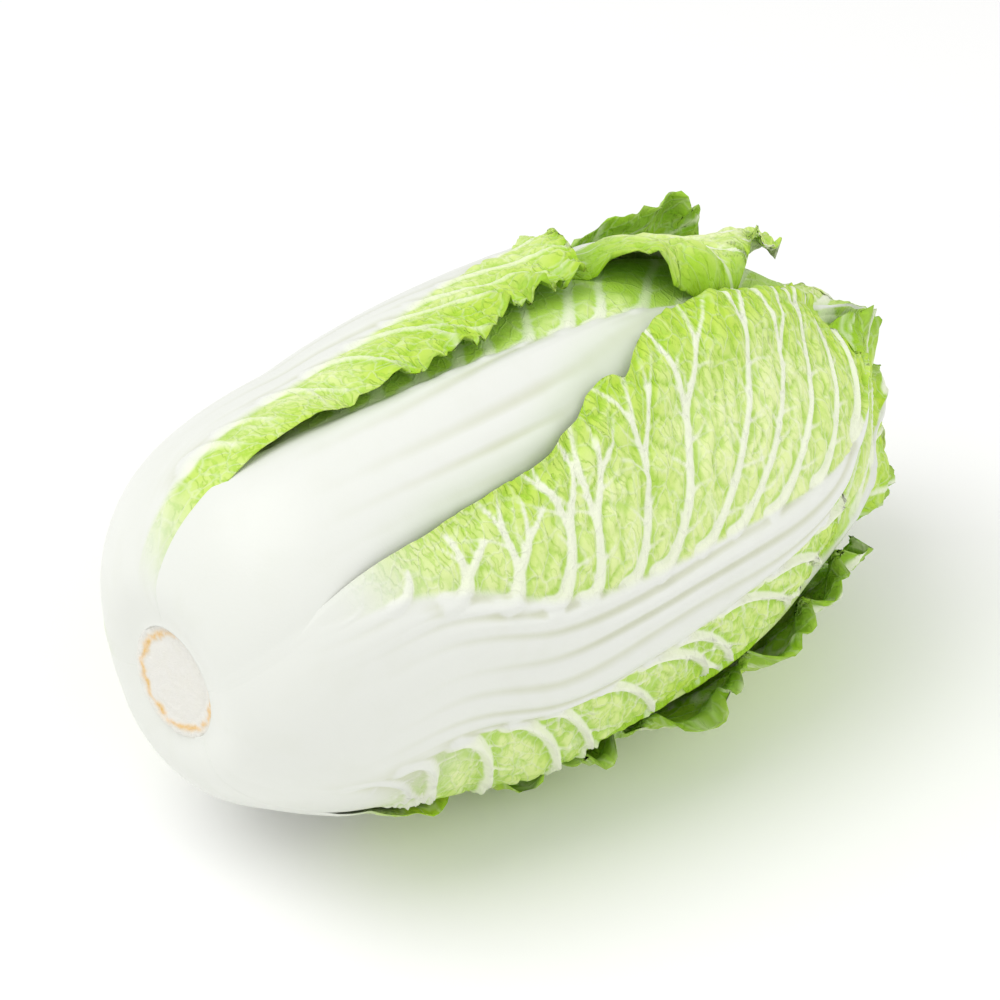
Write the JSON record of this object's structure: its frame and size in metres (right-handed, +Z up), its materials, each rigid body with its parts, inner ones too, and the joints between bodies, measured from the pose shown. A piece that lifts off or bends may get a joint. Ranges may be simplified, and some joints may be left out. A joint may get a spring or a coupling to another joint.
{
  "type": "napa cabbage",
  "caption": "Oblong head of Chinese cabbage lying on its side, with broad white midribs and ruffled green leaf tops wrapped round a dense heart.",
  "frame": {"origin": "middle of the flattened underside that the head rests on, under the head's weight", "axes": "+X along the head's axis from the cut stem towards the leaf tips, +Z up, away from the surface"},
  "size_m": [0.3176, 0.1753, 0.1733],
  "materials": {
    "cut_stem": "moist cut plant tissue, cream with a brown rim",
    "heart_leaves": "waxy pale yellow-green leaf tissue",
    "leaf": "waxy yellow-green blade with a glossy white midrib"
  },
  "bodies": {
    "root": {"stem": "cut_stem", "heart": "heart_leaves", "leaf_top": "leaf", "leaf_front_inner": "leaf", "leaf_back_inner": "leaf", "leaf_back_low": "leaf", "leaf_back_outer": "leaf", "leaf_front_outer": "leaf", "leaf_under": "leaf"}
  },
  "joints": []
}
